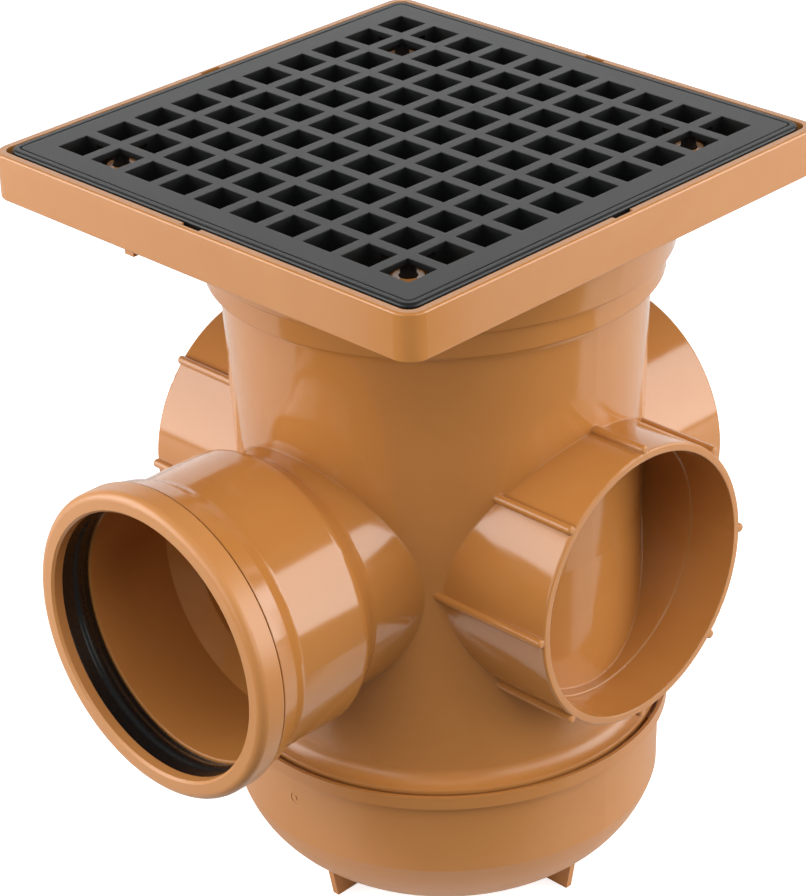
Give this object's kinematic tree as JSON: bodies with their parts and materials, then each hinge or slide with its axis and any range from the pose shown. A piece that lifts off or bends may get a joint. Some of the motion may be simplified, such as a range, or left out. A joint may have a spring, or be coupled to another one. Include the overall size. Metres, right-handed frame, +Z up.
{
  "type": "bottle gully",
  "caption": "Underground bottle gully: round trapped body on a bowl base, with a socketed outlet, blank ribbed inlets and a turning square frame that carries a lift-out grating.",
  "frame": {"origin": "on the body's vertical axis, at the bed that the crossed foot ribs stand on", "axes": "+Z up along the body's axis, -Y out of the outlet socket, blank inlets along +X, +Y and -X"},
  "size_m": [0.2415, 0.278, 0.3208],
  "materials": {
    "orange_brown_upvc": "smooth glossy moulding",
    "black_polypropylene": "satin moulding with soft edges",
    "black_seal_rubber": "smooth matt rubber"
  },
  "bodies": {
    "gully": {"gully_body": "orange_brown_upvc", "sump_base": "orange_brown_upvc", "trap_baffle": "orange_brown_upvc", "outlet_retaining_cap": "orange_brown_upvc", "outlet_seal_ring": "black_seal_rubber"},
    "frame": {"top_frame": "orange_brown_upvc"},
    "grate": {"grating": "black_polypropylene"}
  },
  "joints": [
    {"name": "frame_swivel", "type": "hinge", "parent": "gully", "child": "frame", "pos_m": [0, 0, 0.294], "axis": [0, 0, 1], "continuous": true},
    {"name": "grating_lift", "type": "slide", "parent": "frame", "child": "grate", "axis": [0, 0, 1], "range_m": [0, 0.08]}
  ]
}
